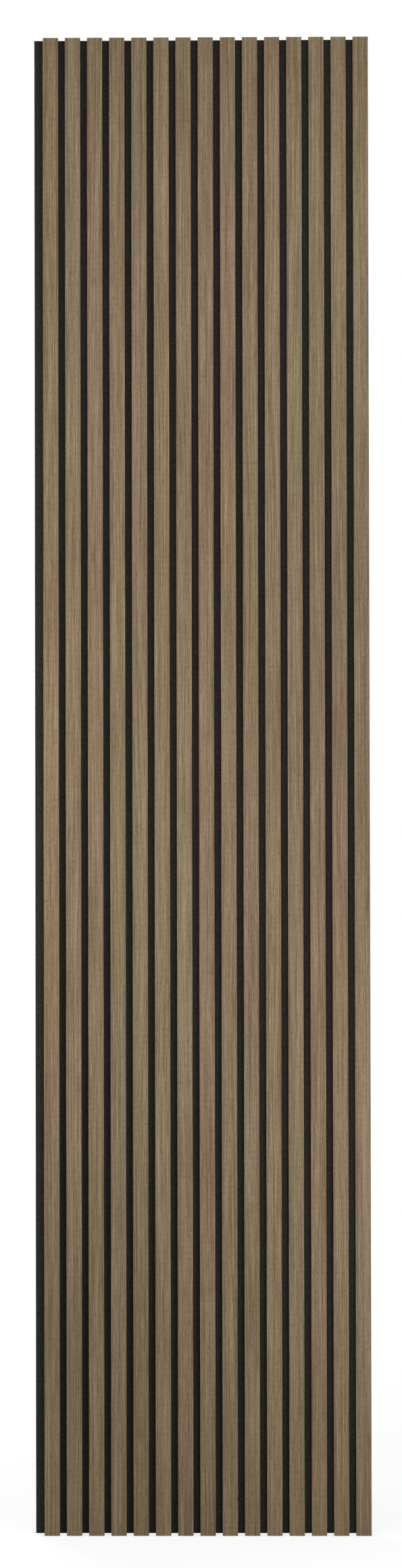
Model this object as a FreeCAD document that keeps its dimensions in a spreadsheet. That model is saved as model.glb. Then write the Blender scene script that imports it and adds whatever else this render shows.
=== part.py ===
import FreeCAD, Part
import Sketcher
import os
from FreeCAD import Vector

# Slatted wall panel: veneered strips, stapled from behind to one sheet of felt.
# The frame stands at the middle of the back: X to the right, Z up, and the room lies towards -Y.
# Lengths are millimetres.

doc = FreeCAD.newDocument("SlatPanel")
sizes = doc.addObject("Spreadsheet::Sheet", "sizes")

driving_sizes = [
    ("slat_count", 15),
    ("slat_length", 2700),
    ("slat_gap", 12.5),
    ("core_width", 26.3),
    ("core_depth", 11.4),
    ("veneer_thickness", 0.6),
    ("veneer_edge_radius", 0.5),
    ("felt_thickness", 9),
    ("felt_margin", 16),
    ("felt_setback", 3),
    ("staple_rows", 6),
    ("staple_end_distance", 100),
    ("staple_crown", 12.8),
    ("staple_wire_width", 0.95),
    ("staple_wire_thickness", 0.65),
    ("staple_bite", 7),
]

# Sizes that follow from the driving ones
derived_sizes = [
    ("slat_width", "core_width + 2 * veneer_thickness"),
    ("slat_depth", "core_depth + veneer_thickness"),
    ("slat_pitch", "slat_width + slat_gap"),
    ("slat_run", "(slat_count - 1) * slat_pitch"),
    ("felt_width", "felt_margin + slat_run + slat_width"),
    ("felt_length", "slat_length - 2 * felt_setback"),
    ("first_slat", "felt_margin + slat_width / 2 - felt_width / 2"),
    ("staple_run", "slat_length - 2 * staple_end_distance"),
    ("staple_leg", "felt_thickness + staple_bite"),
]


def fill_row(row, name, content):
    sizes.set(f"A{row}", name)
    sizes.set(f"B{row}", content)
    sizes.setAlias(f"B{row}", name)
    sizes.recompute()


for row, (name, number) in enumerate(driving_sizes, start=1):
    fill_row(row, name, str(number))
for row, (name, formula) in enumerate(derived_sizes, start=len(driving_sizes) + 1):
    fill_row(row, name, "=" + formula)


def origin_feature(body, role):
    return next(feature for feature in body.Origin.OriginFeatures if feature.Role == role)


def new_body(label):
    body = doc.addObject("PartDesign::Body", label)
    body.Label = label
    return body


def new_sketch(body, name, x="0", y="0", z="0"):
    # Every section lies level, so its own X and Y are the body's
    sketch = body.newObject("Sketcher::SketchObject", name)
    sketch.AttachmentSupport = [(origin_feature(body, "XY_Plane"), "")]
    sketch.MapMode = "FlatFace"
    for axis, formula in (("x", x), ("y", y), ("z", z)):
        sketch.setExpression(f"AttachmentOffset.Base.{axis}", formula)
    return sketch


def square_outline(sketch, corners):
    # Closed outline of level and upright lines, whose first one is centred on the sketch's origin
    lines = []
    for start, end in zip(corners, corners[1:] + corners[:1]):
        line = sketch.addGeometry(Part.LineSegment(start, end), False)
        level = abs(start.y - end.y) < abs(start.x - end.x)
        sketch.addConstraint(Sketcher.Constraint("Horizontal" if level else "Vertical", line))
        lines.append(line)
    for line, following in zip(lines, lines[1:] + lines[:1]):
        sketch.addConstraint(Sketcher.Constraint("Coincident", line, 2, following, 1))
    sketch.addConstraint(Sketcher.Constraint("Symmetric", lines[0], 1, lines[0], 2, -1, 1))
    return lines


def dimension(sketch, line, name, formula):
    # Length of one line of the outline, bound to the sheet
    length = sketch.evalExpression(formula)
    index = sketch.addConstraint(Sketcher.Constraint("Distance", line, length))
    sketch.renameConstraint(index, name)
    sketch.setExpression(f"Constraints.{name}", formula)


def draw_rectangle(sketch, width, depth):
    # Back edge on the X axis, the rest towards -Y
    half = sketch.evalExpression(width) / 2
    front = -sketch.evalExpression(depth)
    corners = [Vector(-half, 0), Vector(half, 0), Vector(half, front), Vector(-half, front)]
    lines = square_outline(sketch, corners)
    dimension(sketch, lines[0], "width", width)
    dimension(sketch, lines[1], "depth", depth)


def draw_channel(sketch, width, depth, wall, side):
    # Web on the X axis and two legs towards +Y or -Y
    half = sketch.evalExpression(width) / 2
    leg = sketch.evalExpression(depth) * side
    thick = sketch.evalExpression(wall)
    inner = half - thick
    web = thick * side
    corners = [Vector(-half, 0), Vector(half, 0), Vector(half, leg), Vector(inner, leg)]
    corners += [Vector(inner, web), Vector(-inner, web), Vector(-inner, leg), Vector(-half, leg)]
    lines = square_outline(sketch, corners)
    dimension(sketch, lines[0], "width", width)
    dimension(sketch, lines[1], "right_leg", depth)
    dimension(sketch, lines[2], "right_wall", wall)
    dimension(sketch, lines[6], "left_wall", wall)
    dimension(sketch, lines[7], "left_leg", depth)
    dimension(sketch, lines[3], "leg_inside", f"{depth} - {wall}")


def extrude(body, kind, sketch, length):
    # Pad or pocket to both sides of its sketch
    feature = body.newObject(f"PartDesign::{kind}", kind)
    feature.Profile = sketch
    feature.SideType = "Symmetric"
    feature.setExpression("Length", length)
    doc.recompute()
    return feature


def round_front_edges(body, wrap):
    # The two long edges that face the room
    tolerance = 1e-4
    corner = body.evalExpression("sizes.slat_width") / 2
    front = -body.evalExpression("sizes.slat_depth")
    names = []
    for number, edge in enumerate(wrap.Shape.Edges, start=1):
        middle = edge.CenterOfMass
        if abs(abs(middle.x) - corner) < tolerance and abs(middle.y - front) < tolerance:
            names.append(f"Edge{number}")
    fillet = body.newObject("PartDesign::Fillet", "RoundedEdges")
    fillet.Base = (wrap, names)
    fillet.setExpression("Radius", "sizes.veneer_edge_radius")


def repeat(body, feature, across=False):
    # One copy in each row of staples, and in each slat where the piece lies behind them all
    pattern = body.newObject("PartDesign::LinearPattern", "Rows")
    pattern.Originals = [feature]
    pattern.Direction = (origin_feature(body, "Z_Axis"), [""])
    pattern.setExpression("Length", "sizes.staple_run")
    pattern.setExpression("Occurrences", "sizes.staple_rows")
    if across:
        pattern.Direction2 = (origin_feature(body, "X_Axis"), [""])
        pattern.setExpression("Length2", "sizes.slat_run")
        pattern.setExpression("Occurrences2", "sizes.slat_count")
    body.Tip = pattern
    doc.recompute()


def staple_sketch(body, x, y):
    # A staple of the lowest row: crown in the felt's back, legs through it into the slat
    sketch = new_sketch(body, "StapleSection", x=x, y=y, z="-sizes.staple_run / 2")
    draw_channel(sketch, "sizes.staple_crown", "sizes.staple_leg", "sizes.staple_wire_thickness", -1)
    return sketch


def cut_staple_slits(body, x, y, across=False):
    whole = body.Shape.Volume
    slit = extrude(body, "Pocket", staple_sketch(body, x, y), "sizes.staple_wire_width")
    if not slit.Shape.Volume < whole:
        raise RuntimeError(f"{body.Label}: the staple slit cuts nothing")
    repeat(body, slit, across)


def make_felt_backing():
    body = new_body("felt_backing")
    section = new_sketch(body, "FeltSection")
    draw_rectangle(section, "sizes.felt_width", "sizes.felt_thickness")
    extrude(body, "Pad", section, "sizes.felt_length")
    cut_staple_slits(body, "sizes.first_slat", "0", across=True)


def make_staples():
    body = new_body("staples")
    staple = extrude(body, "Pad", staple_sketch(body, "sizes.first_slat", "0"), "sizes.staple_wire_width")
    repeat(body, staple, across=True)


def place_slat_piece(body, index):
    # On the felt's front, counted from the left
    body.setExpression("Placement.Base.x", f"sizes.first_slat + {index} * sizes.slat_pitch")
    body.setExpression("Placement.Base.y", "-sizes.felt_thickness")


def make_slat_core(index):
    body = new_body(f"slat_core_{index + 1:02d}")
    section = new_sketch(body, "CoreSection")
    draw_rectangle(section, "sizes.core_width", "sizes.core_depth")
    extrude(body, "Pad", section, "sizes.slat_length")
    cut_staple_slits(body, "0", "sizes.felt_thickness")
    place_slat_piece(body, index)


def make_slat_veneer(index):
    body = new_body(f"slat_veneer_{index + 1:02d}")
    section = new_sketch(body, "VeneerSection", y="-sizes.slat_depth")
    draw_channel(section, "sizes.slat_width", "sizes.slat_depth", "sizes.veneer_thickness", 1)
    wrap = extrude(body, "Pad", section, "sizes.slat_length")
    round_front_edges(body, wrap)
    place_slat_piece(body, index)


make_felt_backing()
make_staples()
for index in range(int(sizes.slat_count)):
    make_slat_core(index)
    make_slat_veneer(index)
doc.recompute()

for item in doc.Objects:
    if "Invalid" in item.State or "Error" in item.State:
        raise RuntimeError(f"{item.Label} failed: {item.State}")

bodies = [item for item in doc.Objects if item.TypeId == "PartDesign::Body"]
for body in bodies:
    if body.Shape.isNull() or not body.Shape.isValid():
        raise RuntimeError(f"{body.Label} has no valid shape")

os.makedirs("parts", exist_ok=True)
for body in bodies:
    body.Shape.exportStep(f"parts/{body.Label}.step")
    print(body.Label, len(body.Shape.Solids), round(body.Shape.Volume), "mm3")
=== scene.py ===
import math

import bpy
import numpy as np
from mathutils import Matrix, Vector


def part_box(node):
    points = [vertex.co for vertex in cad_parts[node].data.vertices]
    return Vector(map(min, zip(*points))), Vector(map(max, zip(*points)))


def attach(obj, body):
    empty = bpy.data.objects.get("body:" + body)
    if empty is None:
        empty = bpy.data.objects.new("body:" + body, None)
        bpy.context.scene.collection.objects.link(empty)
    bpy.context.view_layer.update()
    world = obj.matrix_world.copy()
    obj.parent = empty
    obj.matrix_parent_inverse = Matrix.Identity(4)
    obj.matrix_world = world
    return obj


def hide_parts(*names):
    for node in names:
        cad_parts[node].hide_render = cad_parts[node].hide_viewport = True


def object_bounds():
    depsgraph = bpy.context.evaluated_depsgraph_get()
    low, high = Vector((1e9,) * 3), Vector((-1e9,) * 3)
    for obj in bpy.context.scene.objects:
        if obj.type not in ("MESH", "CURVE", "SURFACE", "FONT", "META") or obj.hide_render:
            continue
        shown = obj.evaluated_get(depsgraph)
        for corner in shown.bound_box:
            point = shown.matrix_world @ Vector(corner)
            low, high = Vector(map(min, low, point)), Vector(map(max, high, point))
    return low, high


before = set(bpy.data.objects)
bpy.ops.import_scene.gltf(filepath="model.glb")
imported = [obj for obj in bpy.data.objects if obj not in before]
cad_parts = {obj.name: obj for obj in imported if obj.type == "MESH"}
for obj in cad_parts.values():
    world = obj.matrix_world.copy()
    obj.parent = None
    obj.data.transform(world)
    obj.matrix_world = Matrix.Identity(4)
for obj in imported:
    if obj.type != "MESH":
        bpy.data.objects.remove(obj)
cadBounds = [list(corner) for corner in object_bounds()]
slatCount = sum(name.startswith("slat_core_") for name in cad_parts)
print("frame loaded,", slatCount, "slats")


def nodeBox(name):
    low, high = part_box(name)
    return np.array(low), np.array(high)


def nodePoints(name):
    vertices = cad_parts[name].data.vertices
    points = np.zeros(len(vertices) * 3, np.float32)
    vertices.foreach_get("co", points)
    return points.reshape(-1, 3)


# Mesh helpers

def meshPiece(name, points, faces, material, grain=None, smoothAngle=30):
    # points is (n, 3), faces a list of index arrays with a row for each face, grain a UV for each point
    polygons = sum((np.atleast_2d(block).tolist() for block in faces), [])
    mesh = bpy.data.meshes.new(name)
    mesh.from_pydata(points.tolist(), [], polygons)
    if grain is not None:
        corners = np.zeros(len(mesh.loops), np.int32)
        mesh.loops.foreach_get("vertex_index", corners)
        layer = mesh.uv_layers.new(name="grain")
        layer.data.foreach_set("uv", np.asarray(grain, np.float32)[corners].ravel())
    mesh.polygons.foreach_set("use_smooth", np.ones(len(mesh.polygons), bool))
    mesh.update()
    mesh.set_sharp_from_angle(angle=math.radians(smoothAngle))
    mesh.materials.append(material)
    piece = bpy.data.objects.new(name, mesh)
    bpy.context.scene.collection.objects.link(piece)
    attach(piece, "root")
    return piece


def loftFaces(rings, around):
    # Quads between neighbouring rings of a closed section, facing outwards
    ring, place = np.meshgrid(np.arange(rings - 1), np.arange(around), indexing="ij")
    following = (place + 1) % around
    corners = [ring * around + place, ring * around + following]
    corners += [(ring + 1) * around + following, (ring + 1) * around + place]
    return np.stack([c.ravel() for c in corners], axis=1)


def endCaps(rings, around):
    # One face over the first ring, its order turned so that it faces out, and one over the last
    first = np.arange(around)[::-1]
    last = (rings - 1) * around + np.arange(around)
    return [first, last]


def quarterArc(centre, radius, fromDegrees, toDegrees, steps):
    # The centre plus the radius times the cosine and sine of an angle that turns in even steps
    angle = np.radians(np.linspace(fromDegrees, toDegrees, steps + 1))
    return np.stack([centre[0] + radius * np.cos(angle), centre[1] + radius * np.sin(angle)], axis=1)


# Material helpers

def newMaterial(name):
    material = bpy.data.materials.new(name)
    material.use_nodes = True
    tree = material.node_tree
    tree.nodes.clear()
    return material, tree


def addNode(tree, kind, settings=None, inputs=None):
    node = tree.nodes.new(kind)
    for name, value in (settings or {}).items():
        setattr(node, name, value)
    for name, value in (inputs or {}).items():
        if isinstance(value, bpy.types.NodeSocket):
            tree.links.new(value, node.inputs[name])
        else:
            node.inputs[name].default_value = value
    return node


def calc(tree, operation, *values):
    return addNode(tree, "ShaderNodeMath", {"operation": operation}, dict(enumerate(values))).outputs[0]


def vectorCalc(tree, operation, *values):
    return addNode(tree, "ShaderNodeVectorMath", {"operation": operation}, dict(enumerate(values)))


def noise(tree, vector, settings):
    # From about 0 to 1; settings are the scale on each axis, the octaves and the roughness
    scale, octaves, roughness = settings
    scaled = vectorCalc(tree, "MULTIPLY", vector, scale).outputs[0]
    inputs = {"Vector": scaled, "Scale": 1.0, "Detail": octaves, "Roughness": roughness}
    return addNode(tree, "ShaderNodeTexNoise", {}, inputs).outputs["Fac"]


def centred(tree, value, amount):
    # amount times (value - 0.5)
    return calc(tree, "MULTIPLY", calc(tree, "SUBTRACT", value, 0.5), amount)


def threads(tree, vector, settings, sharpness):
    # Thin lines where a noise crosses its middle value: 1 on the line, falling to 0 beside it
    beside = calc(tree, "ABSOLUTE", centred(tree, noise(tree, vector, settings), sharpness))
    return calc(tree, "MAXIMUM", calc(tree, "SUBTRACT", 1.0, beside), 0.0)


def ramp(tree, value, tones):
    # tones are colours, each at its place between 0 and 1
    node = addNode(tree, "ShaderNodeValToRGB", {}, {"Fac": value})
    elements = node.color_ramp.elements
    while len(elements) < len(tones):
        elements.new(0.5)
    for element, (place, colour) in zip(elements, tones):
        element.position = place
        element.color = (*colour, 1.0)
    return node.outputs["Color"]


def finishMaterial(tree, inputs, height, bump):
    # Principled surface, raised by height; bump is the strength and distance of that
    strength, distance = bump
    reliefInputs = {"Height": height, "Strength": strength, "Distance": distance}
    relief = addNode(tree, "ShaderNodeBump", {}, reliefInputs).outputs["Normal"]
    surface = addNode(tree, "ShaderNodeBsdfPrincipled", {}, {**inputs, "Normal": relief})
    addNode(tree, "ShaderNodeOutputMaterial", {}, {"Surface": surface.outputs["BSDF"]})


# Wood veneer of the slats

# A noise's scale is across the sheet, along it and, unused on a flat sheet, through it.
# Each share says how much that noise moves the tone
veneerLook = {
    "tones": [(0.0, (0.140, 0.088, 0.042)), (0.5, (0.235, 0.1695, 0.0943)), (1.0, (0.362, 0.277, 0.175))],
    "startTone": 0.5,
    "wanderNoise": ((11.0, 1.3, 1.0), 1.0, 0.5),
    "wanderReach": 0.016,
    "slatNoise": ((0.9, 0.0, 1.0), 0.0, 0.5),
    "slatShare": 0.22,
    "bandNoise": ((45.0, 1.0, 1.0), 2.0, 0.5),
    "bandShare": 0.28,
    "ribbonNoise": ((170.0, 0.9, 1.0), 1.0, 0.5),
    "ribbonShare": 0.5,
    "lineNoise": ((450.0, 4.6, 1.0), 2.0, 0.6),
    "lineShare": 1.45,
    "fineNoise": ((800.0, 26.0, 1.0), 2.0, 0.5),
    "fineShare": 1.05,
    "fleckNoise": ((650.0, 170.0, 1.0), 1.0, 0.5),
    "fleckShare": 0.6,
    "ringNoise": ((320.0, 1.6, 1.0), 1.0, 0.5),
    "ringSharpness": 14.0,
    "ringDepth": 0.34,
    "ringMean": 0.2,
    "poreNoise": ((3200.0, 95.0, 1.0), 0.0, 0.5),
    "poreLimit": 0.36,
    "poreDepth": 0.3,
    # Painted shade, darker towards the slat's long edges
    "paintedEdgeShade": 0.09,
    "paintedEdgeShadePower": 2.0,
    "hueNoise": ((60.0, 9.0, 1.0), 2.0, 0.5),
    "hueShare": (0.06, -0.02, 0.05),
    "roughness": 0.66,
    "paleGloss": 0.08,
    "specular": 0.3,
    "bump": (0.35, 0.0002),
}


def veneerMaterial():
    material, tree = newMaterial("greyBrownOak")
    look = veneerLook
    sheet = addNode(tree, "ShaderNodeUVMap", {"uv_map": "grain"}).outputs["UV"]
    # The grain wanders to the side as it runs along the slat
    wander = centred(tree, noise(tree, sheet, look["wanderNoise"]), look["wanderReach"])
    sideways = addNode(tree, "ShaderNodeCombineXYZ", {}, {"X": wander}).outputs[0]
    along = vectorCalc(tree, "ADD", sheet, sideways).outputs[0]
    # The slat's own tone, then bands, lines and flecks from broad to fine
    ownTone = centred(tree, noise(tree, sheet, look["slatNoise"]), look["slatShare"])
    tone = calc(tree, "ADD", look["startTone"], ownTone)
    for layer in ("band", "ribbon", "line", "fine", "fleck"):
        added = centred(tree, noise(tree, along, look[layer + "Noise"]), look[layer + "Share"])
        tone = calc(tree, "ADD", tone, added)
    # Thin dark growth lines, about their mean
    growth = threads(tree, along, look["ringNoise"], look["ringSharpness"])
    tone = calc(tree, "SUBTRACT", tone, calc(tree, "MULTIPLY", growth, look["ringDepth"]))
    tone = calc(tree, "ADD", tone, look["ringMean"] * look["ringDepth"])
    openPore = calc(tree, "LESS_THAN", noise(tree, along, look["poreNoise"]), look["poreLimit"])
    tone = calc(tree, "SUBTRACT", tone, calc(tree, "MULTIPLY", openPore, look["poreDepth"]))
    # Painted shade: a little darker towards the long edges, beside the dark gaps
    middle = addNode(tree, "ShaderNodeAttribute", {"attribute_name": "middle"}).outputs["Fac"]
    edgeShadeMask = calc(tree, "POWER", calc(tree, "SUBTRACT", 1.0, middle), look["paintedEdgeShadePower"])
    tone = calc(tree, "SUBTRACT", tone, calc(tree, "MULTIPLY", edgeShadeMask, look["paintedEdgeShade"]))
    # Slow drift between a greener and a redder brown
    drift = centred(tree, noise(tree, along, look["hueNoise"]), 1.0)
    tint = vectorCalc(tree, "MULTIPLY_ADD", drift, look["hueShare"], (1.0, 1.0, 1.0)).outputs[0]
    colour = vectorCalc(tree, "MULTIPLY", ramp(tree, tone, look["tones"]), tint).outputs[0]
    roughness = calc(tree, "SUBTRACT", look["roughness"], calc(tree, "MULTIPLY", tone, look["paleGloss"]))
    inputs = {"Base Color": colour, "Roughness": roughness, "Specular IOR Level": look["specular"]}
    finishMaterial(tree, inputs, tone, look["bump"])
    return material


slatVeneer = {
    "wall": 0.0006,
    "edgeRadius": 0.0005,
    "edgeSteps": 6,
    "edgeSupport": 0.0003,
    "endBevel": 0.00012,
    "ringStep": 0.15,
    "grainSeed": 27,
    "sheetSpread": 9.0,
}


def veneerSection(half, depth):
    # Up the left side, round a quarter circle, across the front, round and down, then back inside.
    # across is each point's distance along the sheet, and an inside point has that of the outside by it
    part = slatVeneer
    radius = part["edgeRadius"]
    near = radius + part["edgeSupport"]
    inner = half - part["wall"]
    innerFront = depth - part["wall"]
    leftArc = quarterArc((-half + radius, -depth + radius), radius, 180, 270, part["edgeSteps"])
    rightArc = quarterArc((half - radius, -depth + radius), radius, 270, 360, part["edgeSteps"])
    leftSide = [[-half, 0], [-half, -depth / 2], [-half, -depth + near]]
    front = [[-half + near, -depth], [0, -depth], [half - near, -depth]]
    rightSide = [[half, -depth + near], [half, -depth / 2], [half, 0]]
    inside = [[inner, 0], [inner, -innerFront], [-inner, -innerFront], [-inner, 0]]
    outline = np.concatenate([leftSide, leftArc, front, rightArc, rightSide, inside])
    outer = len(outline) - len(inside)
    steps = np.linalg.norm(np.diff(outline[:outer], axis=0), axis=1)
    across = np.concatenate([[0], np.cumsum(steps)])
    fromRight = np.array([0, depth, half * 2 + depth, across[-1]])
    across = np.concatenate([across, across[-1] - fromRight])
    return outline, across, outer


def makeVeneer(index, material, random):
    # The section is carried from foot to top: x and y are the outline's, z is the height of the ring.
    # At both ends the outer points are drawn in by the bevel
    part = slatVeneer
    node = f"slat_veneer_{index + 1:02d}"
    low, high = nodeBox(node)
    centre = (low[0] + high[0]) / 2
    half = (high[0] - low[0]) / 2
    depth = high[1] - low[1]
    outline, across, outer = veneerSection(half, depth)
    bevel = part["endBevel"]
    rings = 1 + round((high[2] - low[2]) / part["ringStep"])
    heights = np.concatenate([[low[2]], np.linspace(low[2] + bevel, high[2] - bevel, rings), [high[2]]])
    inset = np.zeros(len(heights))
    inset[[0, -1]] = bevel
    pull = np.zeros_like(outline)
    pull[:outer, 0] = -outline[:outer, 0] / half
    pull[:outer, 1] = np.where(outline[:outer, 1] < -depth + part["edgeRadius"], 1, 0)
    points = np.zeros((len(heights), len(outline), 3))
    points[..., 0] = centre + outline[:, 0] + inset[:, None] * pull[:, 0]
    points[..., 1] = high[1] + outline[:, 1] + inset[:, None] * pull[:, 1]
    points[..., 2] = heights[:, None]
    # Every slat is cut from its own place in the sheet
    shift = random.uniform(0, part["sheetSpread"], 2)
    grain = np.zeros((len(heights), len(outline), 2))
    grain[..., 0] = across + shift[0]
    grain[..., 1] = heights[:, None] + shift[1]
    faces = [loftFaces(len(heights), len(outline)), *endCaps(len(heights), len(outline))]
    name = f"slatVeneer_{index + 1:02d}"
    piece = meshPiece(name, points.reshape(-1, 3), faces, material, grain.reshape(-1, 2))
    # 1 on the slat's middle line, 0 at its sides; the veneer's painted edge shade is drawn from it
    middle = np.tile(1 - np.abs(outline[:, 0]) / half, len(heights))
    piece.data.attributes.new("middle", "FLOAT", "POINT").data.foreach_set("value", middle)
    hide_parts(node)


oak = veneerMaterial()
grainRandom = np.random.default_rng(slatVeneer["grainSeed"])
for index in range(slatCount):
    makeVeneer(index, oak, grainRandom)
print("veneers wrapped:", slatCount)


# Fibreboard strips under the veneer

fibreboardLook = {
    "tones": [(0.25, (0.150, 0.092, 0.048)), (0.8, (0.330, 0.225, 0.130))],
    "chipNoise": ((900.0, 900.0, 900.0), 4.0, 0.7),
    "cloudNoise": ((140.0, 140.0, 140.0), 2.0, 0.5),
    "cloudShare": 0.4,
    "roughness": 0.85,
    "specular": 0.2,
    "bump": (0.5, 0.0003),
}


def fibreboardMaterial():
    material, tree = newMaterial("sawnFibreboard")
    look = fibreboardLook
    place = addNode(tree, "ShaderNodeTexCoord").outputs["Object"]
    chips = noise(tree, place, look["chipNoise"])
    clouds = centred(tree, noise(tree, place, look["cloudNoise"]), look["cloudShare"])
    colour = ramp(tree, calc(tree, "ADD", chips, clouds), look["tones"])
    inputs = {"Base Color": colour, "Roughness": look["roughness"], "Specular IOR Level": look["specular"]}
    finishMaterial(tree, inputs, chips, look["bump"])
    return material


fibreboard = fibreboardMaterial()
for index in range(slatCount):
    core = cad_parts[f"slat_core_{index + 1:02d}"]
    core.data.materials.clear()
    core.data.materials.append(fibreboard)
print("strips finished")


# Size and places of the staples, which the dips in the felt follow too

stapleWire = {
    "halfSpan": 0.0064,
    "legLength": 0.016,
    "thickness": 0.00065,
    "width": 0.00095,
    "bendRadius": 0.0007,
    "bendSteps": 4,
    "corner": 0.00012,
    "pointLength": 0.0016,
    "pointSize": 0.3,
    "smoothAngle": 35,
}

# Behind the middle of each slat, in level rows; heights are read in metres, to so many decimals
heightDecimals = 5
coreBoxes = [nodeBox(f"slat_core_{index + 1:02d}") for index in range(slatCount)]
slatMiddles = np.mean([[low[0], high[0]] for low, high in coreBoxes], axis=1)
stapleEdges = np.unique(np.round(nodePoints("staples")[:, 2], heightDecimals))
stapleRows = stapleEdges.reshape(-1, 2).mean(axis=1)


# Felt sheet

feltLook = {
    "tones": [(0.3, (0.0195, 0.0185, 0.0163)), (0.8, (0.0610, 0.0580, 0.0514))],
    "fibreNoise": ((2600.0, 2600.0, 1300.0), 3.0, 0.7),
    "tuftNoise": ((300.0, 300.0, 300.0), 3.0, 0.6),
    "tuftShare": 1.0,
    "lintNoise": ((900.0, 900.0, 260.0), 1.0, 0.5),
    "lintLimit": 0.76,
    "lintShare": 0.35,
    "hairNoise": ((430.0, 430.0, 820.0), 1.0, 0.5),
    "crossHairNoise": ((860.0, 860.0, 390.0), 1.0, 0.5),
    "hairSharpness": 22.0,
    "hairShare": 0.42,
    "hairMean": 0.3,
    "roughness": 1.0,
    "specular": 0.05,
    "bump": (0.8, 0.0006),
}

# endRadii counts edge radii and dimpleClearance counts dimple heights; edgeTuck is a share of the radius
feltSheet = {
    "crown": 0.0003,
    "crownWave": 0.4,
    "waver": 0.00012,
    "waveCount": 7,
    "waveLengths": (0.03, 0.4),
    "edgeRadius": 0.0007,
    "edgeTuck": 0.85,
    "edgeSteps": 3,
    "endRadii": 3,
    "gapSteps": 8,
    "backReach": 0.012,
    "backSteps": 10,
    "backLimit": 0.9,
    "ringStep": 0.02,
    "dimpleDepth": 0.0007,
    "dimpleWidth": 0.0052,
    "dimpleHeight": 0.0042,
    "dimpleRings": 5,
    "dimpleClearance": 1.5,
    "seed": 9,
    "smoothAngle": 50,
}


def feltMaterial():
    material, tree = newMaterial("blackFelt")
    look = feltLook
    place = addNode(tree, "ShaderNodeTexCoord").outputs["Object"]
    fibres = noise(tree, place, look["fibreNoise"])
    tufts = centred(tree, noise(tree, place, look["tuftNoise"]), look["tuftShare"])
    tone = calc(tree, "ADD", fibres, tufts)
    lint = calc(tree, "GREATER_THAN", noise(tree, place, look["lintNoise"]), look["lintLimit"])
    tone = calc(tree, "ADD", tone, calc(tree, "MULTIPLY", lint, look["lintShare"]))
    # Pale hairs that lie both ways, about their mean
    for layer in ("hairNoise", "crossHairNoise"):
        hairs = threads(tree, place, look[layer], look["hairSharpness"])
        tone = calc(tree, "MULTIPLY_ADD", hairs, look["hairShare"], tone)
    tone = calc(tree, "SUBTRACT", tone, look["hairMean"] * look["hairShare"])
    colour = ramp(tree, tone, look["tones"])
    inputs = {"Base Color": colour, "Roughness": look["roughness"], "Specular IOR Level": look["specular"]}
    finishMaterial(tree, inputs, tone, look["bump"])
    return material


def softWaves(x, z, random, count, lengths):
    # Mean of a few sine waves of random length and heading, between -1 and 1
    total = np.zeros(np.broadcast(x, z).shape)
    for _ in range(count):
        length = random.uniform(*lengths)
        heading, phase = random.uniform(0, math.tau, 2)
        total += np.sin(math.tau * (x * math.cos(heading) + z * math.sin(heading)) / length + phase)
    return total / count


def feltSection(low, high):
    # Front left to right, round the right edge, back right to left, round the left edge.
    # The swell is half a sine across each bare stretch of the front, and 0 elsewhere
    part = feltSheet
    radius = part["edgeRadius"]
    left, right = low[0] + radius, high[0] - radius
    front, back = low[1] + radius, high[1] - radius
    veneerLow, veneerHigh = nodeBox("slat_veneer_01")
    halfSlat = (veneerHigh[0] - veneerLow[0]) / 2
    starts = np.concatenate([[left], slatMiddles[:-1] + halfSlat])
    bare = np.linspace(starts, slatMiddles - halfSlat, part["gapSteps"]).T.ravel()
    rise = np.tile(np.sin(np.linspace(0, math.pi, part["gapSteps"])), slatCount)
    besideMiddle = np.linspace(-part["backReach"], part["backReach"], part["backSteps"])
    behind = (slatMiddles[:, None] + besideMiddle).ravel()
    behind = np.concatenate([[left], behind, [right]])[::-1]
    steps = part["edgeSteps"]
    corners = [
        quarterArc((right, front), radius, 270, 360, steps),
        quarterArc((right, back), radius, 0, 90, steps)[:-1],
        quarterArc((left, back), radius, 90, 180, steps)[1:],
        quarterArc((left, front), radius, 180, 270, steps)[:-1],
    ]
    frontLine = np.stack([bare, np.full(len(bare), low[1])], axis=1)
    backLine = np.stack([behind, np.full(len(behind), high[1])], axis=1)
    outline = np.concatenate([frontLine, *corners[:2], backLine, *corners[2:]])
    swell = np.zeros(len(outline))
    swell[:len(bare)] = rise
    return outline, swell


def feltRings(low, high):
    # Height of each ring and how far it is drawn in: evenly spaced and closer at the rows of staples, and
    # at both ends on a quarter circle, the radius times 1 - cosine from the end and 1 - sine inwards
    part = feltSheet
    radius = part["edgeRadius"]
    margin = part["endRadii"] * radius
    even = np.arange(low[2] + margin, high[2] - margin, part["ringStep"])
    fromRow = np.abs(even[:, None] - stapleRows).min(axis=1)
    even = even[fromRow > part["dimpleClearance"] * part["dimpleHeight"]]
    near = np.linspace(-1, 1, part["dimpleRings"]) * part["dimpleHeight"]
    body = np.sort(np.concatenate([even, (stapleRows[:, None] + near).ravel()]))
    turn = np.radians(np.linspace(0, 90, part["edgeSteps"] + 1))
    rise = radius * (1 - np.cos(turn))
    tuck = part["edgeTuck"] * radius * (1 - np.sin(turn))
    heights = np.concatenate([low[2] + rise, body, high[2] - rise[::-1]])
    inset = np.concatenate([tuck, np.zeros(len(body)), tuck[::-1]])
    return heights, inset


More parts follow.
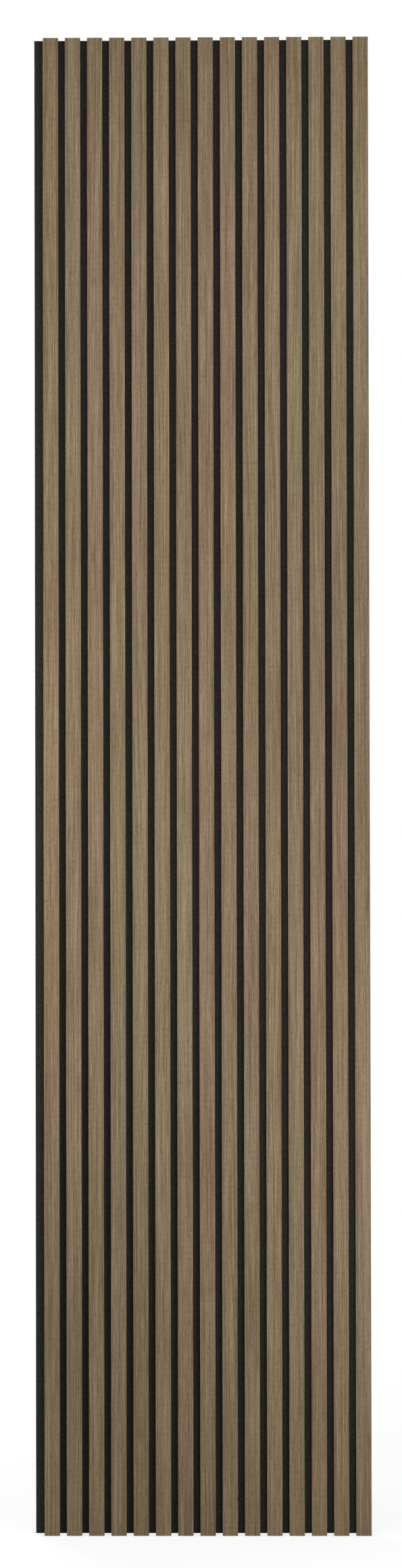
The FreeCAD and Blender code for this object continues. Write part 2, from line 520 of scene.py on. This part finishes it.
def makeFelt():
    # The section is carried from foot to top and drawn in at both ends. Its side edges waver by slow waves,
    # its front swells in the gaps, and its back dips in at each staple by exp(-(distance / width) squared)
    part = feltSheet
    low, high = nodeBox("felt_backing")
    random = np.random.default_rng(part["seed"])
    radius = part["edgeRadius"]
    outline, swell = feltSection(low, high)
    heights, inset = feltRings(low, high)
    inset = inset[:, None]
    x, y = outline.T
    wave = softWaves(x[None, :], heights[:, None], random, part["waveCount"], part["waveLengths"])
    # Outward direction of each point of the section, 0 along its flat sides
    middle = (low + high) / 2
    half = (high - low) / 2
    beyond = np.abs(outline - middle[:2]) - half[:2] + radius
    facing = np.sign(outline - middle[:2]) * np.clip(beyond / radius, 0, 1)
    isBack = facing[:, 1] > part["backLimit"]
    fromRow = np.exp(-((heights[:, None] - stapleRows) / part["dimpleHeight"]) ** 2).max(axis=1)
    beside = np.maximum(0, np.abs(x[:, None] - slatMiddles) - stapleWire["halfSpan"])
    fromStaple = np.exp(-(beside / part["dimpleWidth"]) ** 2).max(axis=1)
    dip = part["dimpleDepth"] * isBack * fromStaple * fromRow[:, None]
    crown = part["crown"] * (1 + part["crownWave"] * wave) * swell
    grid = np.zeros((len(heights), len(x), 3))
    grid[..., 0] = x - facing[:, 0] * (inset + part["waver"] * (1 + wave))
    grid[..., 1] = y - facing[:, 1] * inset - crown - dip
    grid[..., 2] = heights[:, None]
    points = grid.reshape(-1, 3)
    faces = [loftFaces(len(heights), len(x)), *endCaps(len(heights), len(x))]
    felt = meshPiece("feltSheet", points, faces, feltMaterial(), smoothAngle=part["smoothAngle"])
    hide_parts("felt_backing")
    return felt


felt = makeFelt()
print("felt made:", len(felt.data.polygons), "faces")


# Staples

zincLook = {
    "tones": [(0.3, (0.36, 0.37, 0.38)), (0.7, (0.56, 0.57, 0.58))],
    "spangleNoise": ((700.0, 700.0, 700.0), 2.0, 0.5),
    "roughness": 0.38,
    "roughnessShare": 0.3,
    "metallic": 1.0,
    "bump": (0.1, 0.0001),
}


def stapleMaterial():
    material, tree = newMaterial("zincWire")
    look = zincLook
    place = addNode(tree, "ShaderNodeTexCoord").outputs["Object"]
    spangle = noise(tree, place, look["spangleNoise"])
    colour = ramp(tree, spangle, look["tones"])
    roughness = calc(tree, "ADD", look["roughness"], centred(tree, spangle, look["roughnessShare"]))
    inputs = {"Base Color": colour, "Metallic": look["metallic"], "Roughness": roughness}
    finishMaterial(tree, inputs, spangle, look["bump"])
    return material


def oneStaple():
    # A flat wire with eased corners, carried up one leg, round the shoulder, along the crown and down.
    # A ring is its point of the path, plus outward times the section's first number and z for its second
    part = stapleWire
    side = part["halfSpan"] - part["thickness"] / 2
    crown = -part["thickness"] / 2
    bend = part["bendRadius"]
    tip = -part["legLength"]
    shank = tip + part["pointLength"]
    leftBend = quarterArc((-side + bend, crown - bend), bend, 180, 90, part["bendSteps"])
    rightBend = quarterArc((side - bend, crown - bend), bend, 90, 0, part["bendSteps"])
    upLeg = [[-side, tip], [-side, shank]]
    downLeg = [[side, shank], [side, tip]]
    path = np.concatenate([upLeg, leftBend, rightBend, downLeg])
    turns = [[180, 180], np.linspace(180, 90, len(leftBend)), np.linspace(90, 0, len(rightBend)), [0, 0]]
    angle = np.radians(np.concatenate(turns))
    outward = np.stack([np.cos(angle), np.sin(angle)], axis=1)
    thick = part["thickness"] / 2
    wide = part["width"] / 2
    ease = part["corner"]
    section = np.array([
        [thick, -wide + ease], [thick, wide - ease], [thick - ease, wide], [-thick + ease, wide],
        [-thick, wide - ease], [-thick, -wide + ease], [-thick + ease, -wide], [thick - ease, -wide],
    ])
    # The wire narrows to its two points
    size = np.ones(len(path))
    size[[0, -1]] = part["pointSize"]
    staple = np.zeros((len(path), len(section), 3))
    staple[..., :2] = path[:, None] + outward[:, None] * (section[:, 0] * size[:, None])[..., None]
    staple[..., 2] = section[:, 1] * size[:, None]
    return staple


def makeStaples():
    # The same staple at every slat and row
    staple = oneStaple()
    rings, around = staple.shape[:2]
    places = np.zeros((len(slatMiddles), len(stapleRows), 3))
    places[..., 0] = slatMiddles[:, None]
    places[..., 2] = stapleRows
    points = places.reshape(-1, 1, 3) + staple.reshape(1, -1, 3)
    first = np.arange(points.shape[0])[:, None, None] * points.shape[1]
    sides = loftFaces(rings, around)[None] + first
    ends = np.stack(endCaps(rings, around))[None] + first
    faces = [sides.reshape(-1, 4), ends.reshape(-1, around)]
    smooth = stapleWire["smoothAngle"]
    points = points.reshape(-1, 3)
    piece = meshPiece("zincStaples", points, faces, stapleMaterial(), smoothAngle=smooth)
    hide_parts("staples")


makeStaples()
print("staples driven:", len(slatMiddles) * len(stapleRows))


# Floor, world, lights and camera

studio = {
    "floorSize": 14.0,
    "floorColour": 0.86,
    "floorGlow": 0.75,
    "shadowShare": 0.4,
    "shadowReach": (0.3, 2.2),
    "skyStrength": 0.36,
    "whiteStrength": 1.0,
}

# Place, degrees turned to the right, width, height and power of each lamp; at 0 degrees it faces the wall
lampSet = {
    "highLeftLamp": ((-0.45, -0.92, 0.98), 0.0, 0.4, 0.8, 2.65),
    "highRightLamp": ((0.45, -0.92, 1.06), 0.0, 0.4, 0.8, 4.3),
    "middleLamp": ((0.0, -0.92, -0.08), 0.0, 0.4, 0.5, 2.15),
    "rightLamp": ((0.5, -0.92, -0.76), 0.0, 0.4, 0.4, 3.6),
    "sideLamp": ((-1.1, -0.37, -0.1), 68.3, 0.4, 1.0, 7.4),
    "backLamp": ((-1.1, 2.0, 0.2), 151.0, 0.8, 2.4, 26.0),
}

cameraView = {
    "place": (0.0763, -7.0, -0.1133),
    "tilt": 0.934,
    "turn": -0.644,
    "roll": -0.114,
    "lens": 88.97,
    "filmHeight": 36.0,
    "farthest": 100.0,
}


def grey(level):
    return (level, level, level, 1.0)


def glowing(tree, kind, strength):
    return addNode(tree, kind, {}, {"Color": grey(1.0), "Strength": strength}).outputs[0]


def mixed(tree, share, first, second):
    return addNode(tree, "ShaderNodeMixShader", {}, {0: share, 1: first, 2: second}).outputs[0]


def seenDirectly(tree):
    # 1 for rays from the camera, and for those that gloss and glass send on
    rays = addNode(tree, "ShaderNodeLightPath").outputs
    sentOn = calc(tree, "MAXIMUM", rays["Is Glossy Ray"], rays["Is Transmission Ray"])
    return calc(tree, "MAXIMUM", rays["Is Camera Ray"], sentOn)


def floorMaterial():
    material, tree = newMaterial("paleFloor")
    paint = addNode(tree, "ShaderNodeBsdfDiffuse", {}, {"Color": grey(studio["floorColour"])}).outputs[0]
    # The camera sees a glow and part of the light that falls there, which keeps the panel's shadow
    dimPaint = grey(studio["floorColour"] * studio["shadowShare"])
    dim = addNode(tree, "ShaderNodeBsdfDiffuse", {}, {"Color": dimPaint}).outputs[0]
    glow = glowing(tree, "ShaderNodeEmission", studio["floorGlow"])
    near = addNode(tree, "ShaderNodeAddShader", {}, {0: dim, 1: glow}).outputs[0]
    # With distance from the panel that turns to plain white
    white = glowing(tree, "ShaderNodeEmission", studio["whiteStrength"])
    place = addNode(tree, "ShaderNodeTexCoord").outputs["Object"]
    level = vectorCalc(tree, "MULTIPLY", place, (1.0, 1.0, 0.0)).outputs[0]
    away = vectorCalc(tree, "LENGTH", level).outputs["Value"]
    nearest, farthest = studio["shadowReach"]
    limits = {"Value": away, "From Min": nearest, "From Max": farthest}
    fade = addNode(tree, "ShaderNodeMapRange", {"interpolation_type": "SMOOTHSTEP"}, limits).outputs["Result"]
    surface = mixed(tree, seenDirectly(tree), paint, mixed(tree, fade, near, white))
    addNode(tree, "ShaderNodeOutputMaterial", {}, {"Surface": surface})
    return material


def makeFloor():
    half = studio["floorSize"] / 2
    foot = cadBounds[0][2]
    corners = [(-half, -half, foot), (half, -half, foot), (half, half, foot), (-half, half, foot)]
    mesh = bpy.data.meshes.new("floor")
    mesh.from_pydata(corners, [], [(0, 1, 2, 3)])
    mesh.materials.append(floorMaterial())
    floor = bpy.data.objects.new("floor", mesh)
    bpy.context.scene.collection.objects.link(floor)


def makeWorld():
    world = bpy.data.worlds.new("studio")
    bpy.context.scene.world = world
    world.use_nodes = True
    tree = world.node_tree
    tree.nodes.clear()
    sky = glowing(tree, "ShaderNodeBackground", studio["skyStrength"])
    white = glowing(tree, "ShaderNodeBackground", studio["whiteStrength"])
    addNode(tree, "ShaderNodeOutputWorld", {}, {"Surface": mixed(tree, seenDirectly(tree), sky, white)})


def makeLamp(name, place, turn, width, height, power):
    light = bpy.data.lights.new(name, "AREA")
    light.shape = "RECTANGLE"
    light.size = width
    light.size_y = height
    light.energy = power
    lamp = bpy.data.objects.new(name, light)
    bpy.context.scene.collection.objects.link(lamp)
    lamp.location = place
    lamp.rotation_euler = (math.pi / 2, 0, -math.radians(turn))
    lamp.visible_camera = False


def makeCamera():
    view = cameraView
    lens = bpy.data.cameras.new("camera")
    lens.lens = view["lens"]
    lens.sensor_fit = "VERTICAL"
    lens.sensor_height = view["filmHeight"]
    lens.clip_end = view["farthest"]
    camera = bpy.data.objects.new("camera", lens)
    bpy.context.scene.collection.objects.link(camera)
    turn = Matrix.Rotation(math.radians(-view["turn"]), 4, "Z")
    tilt = Matrix.Rotation(math.radians(90 + view["tilt"]), 4, "X")
    roll = Matrix.Rotation(math.radians(view["roll"]), 4, "Z")
    camera.matrix_world = Matrix.Translation(view["place"]) @ turn @ tilt @ roll
    bpy.context.scene.camera = camera


makeFloor()
makeWorld()
for name, settings in lampSet.items():
    makeLamp(name, *settings)
makeCamera()
bpy.context.scene.view_settings.view_transform = "Standard"
print("studio set")
